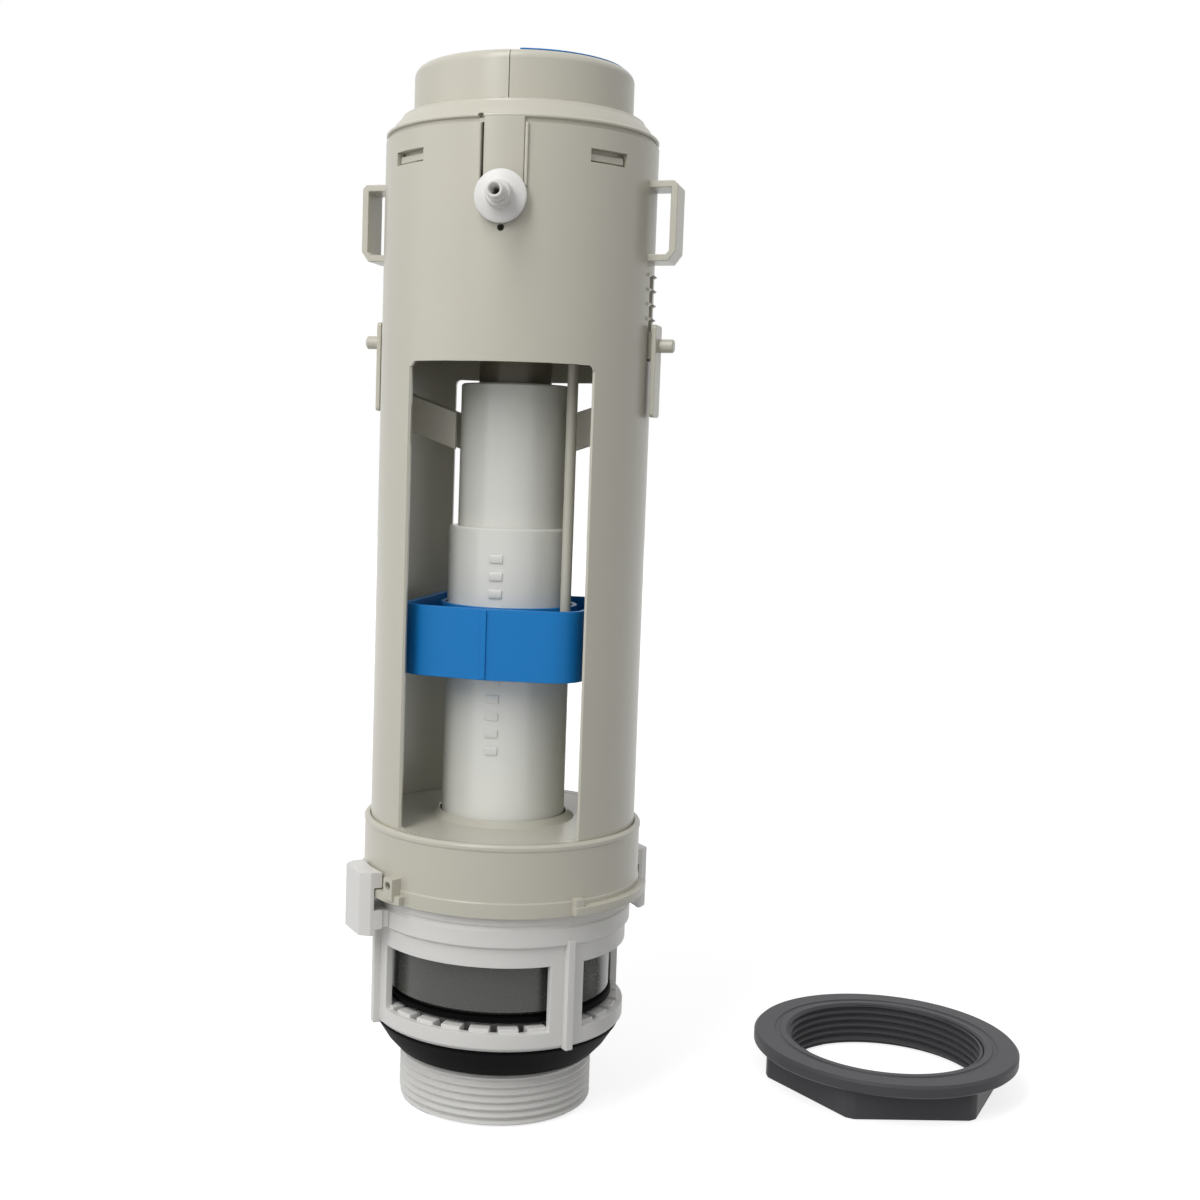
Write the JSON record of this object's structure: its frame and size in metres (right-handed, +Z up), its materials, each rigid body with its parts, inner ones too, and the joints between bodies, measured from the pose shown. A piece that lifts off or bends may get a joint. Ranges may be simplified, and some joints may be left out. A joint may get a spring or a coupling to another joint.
{
  "type": "toilet flush valve",
  "caption": "Tall dual-flush cistern valve with push buttons, overflow tube, float and threaded outlet; lifts its seal to flush, with a lock nut to clamp it.",
  "frame": {"origin": "on the valve axis at the end of the outlet thread", "axes": "+Z up along the valve axis, -Y towards the hose nozzle at the front, +X to the half-flush button"},
  "size_m": [0.2138, 0.1315, 0.3127],
  "materials": {
    "white_plastic": "moulded, satin",
    "beige_plastic": "moulded, satin",
    "tube_plastic": "moulded, slightly see-through",
    "smoke_plastic": "moulded, smoky",
    "lever_plastic": "moulded",
    "blue_plastic": "moulded, semi-gloss",
    "nut_plastic": "moulded",
    "black_rubber": "moulded",
    "steel": "drawn wire"
  },
  "bodies": {
    "basket": {"basket": "white_plastic", "cone_gasket": "black_rubber"},
    "tower": {"bayonet_skirt": "beige_plastic", "tower_shell": "beige_plastic", "head_cover": "beige_plastic", "hose_nozzle": "white_plastic", "nozzle_seal": "black_rubber", "full_rocker_pin": "steel", "half_rocker_pin": "steel", "full_button_spring": "steel", "half_button_spring": "steel"},
    "full_button": {"full_button": "beige_plastic"},
    "half_button": {"half_button": "beige_plastic", "half_button_pad": "blue_plastic"},
    "full_rocker": {"full_rocker": "lever_plastic"},
    "half_rocker": {"half_rocker": "lever_plastic"},
    "overflow": {"lower_tube": "tube_plastic", "seal_carrier": "smoke_plastic", "main_seal": "black_rubber", "seal_retainer": "white_plastic", "lift_stem": "lever_plastic"},
    "upper_tube": {"upper_tube": "tube_plastic", "tube_o_ring": "black_rubber"},
    "half_float": {"half_float": "blue_plastic", "float_link": "white_plastic"},
    "left_slider": {"left_slider": "beige_plastic"},
    "right_slider": {"right_slider": "beige_plastic"},
    "lock_nut": {"lock_nut": "nut_plastic"}
  },
  "joints": [
    {"name": "bayonet_twist", "type": "hinge", "parent": "basket", "child": "tower", "pos_m": [0, 0, 0.0669], "axis": [0, 0, 1], "range_deg": [0, 20]},
    {"name": "flush_lift", "type": "slide", "parent": "tower", "child": "overflow", "axis": [0, 0, 1], "range_m": [0, 0.01]},
    {"name": "full_rocker_swing", "type": "hinge", "parent": "tower", "child": "full_rocker", "pos_m": [-0.014, 0, 0.262], "axis": [0, -1, 0], "range_deg": [0, 41]},
    {"name": "full_button_press", "type": "slide", "parent": "tower", "child": "full_button", "axis": [0, 0, -1], "range_m": [0, 0.0081], "stiffness_N_per_m": 150, "springref_m": -0.006, "deforming": ["full_button_spring"]},
    {"name": "float_lift", "type": "slide", "parent": "tower", "child": "half_float", "axis": [0, 0, 1], "range_m": [0, 0.009]},
    {"name": "half_rocker_swing", "type": "hinge", "parent": "tower", "child": "half_rocker", "pos_m": [0.023, -0.0009, 0.262], "axis": [-1, 0, 0], "range_deg": [0, 39.8]},
    {"name": "half_button_press", "type": "slide", "parent": "tower", "child": "half_button", "axis": [0, 0, -1], "range_m": [0, 0.0079], "stiffness_N_per_m": 150, "springref_m": -0.006, "deforming": ["half_button_spring"]},
    {"name": "upper_tube_slide", "type": "slide", "parent": "overflow", "child": "upper_tube", "axis": [0, 0, 1], "range_m": [-0.02, 0]},
    {"name": "left_slider_slide", "type": "slide", "parent": "tower", "child": "left_slider", "axis": [0, 0, 1], "range_m": [0, 0.016]},
    {"name": "right_slider_slide", "type": "slide", "parent": "tower", "child": "right_slider", "axis": [0, 0, 1], "range_m": [0, 0.016]},
    {"name": "lock_nut_lift", "type": "slide", "parent": "basket", "child": "lock_nut", "axis": [0, 0, 1], "range_m": [0, 0.04]}
  ],
  "couplings": [
    {"joint": "full_rocker_swing", "follows": "flush_lift", "rad_per_m": 71.429},
    {"joint": "full_button_press", "follows": "flush_lift", "ratio": 0.8},
    {"joint": "half_rocker_swing", "follows": "float_lift", "rad_per_m": 76.923},
    {"joint": "half_button_press", "follows": "float_lift", "ratio": 0.865}
  ]
}
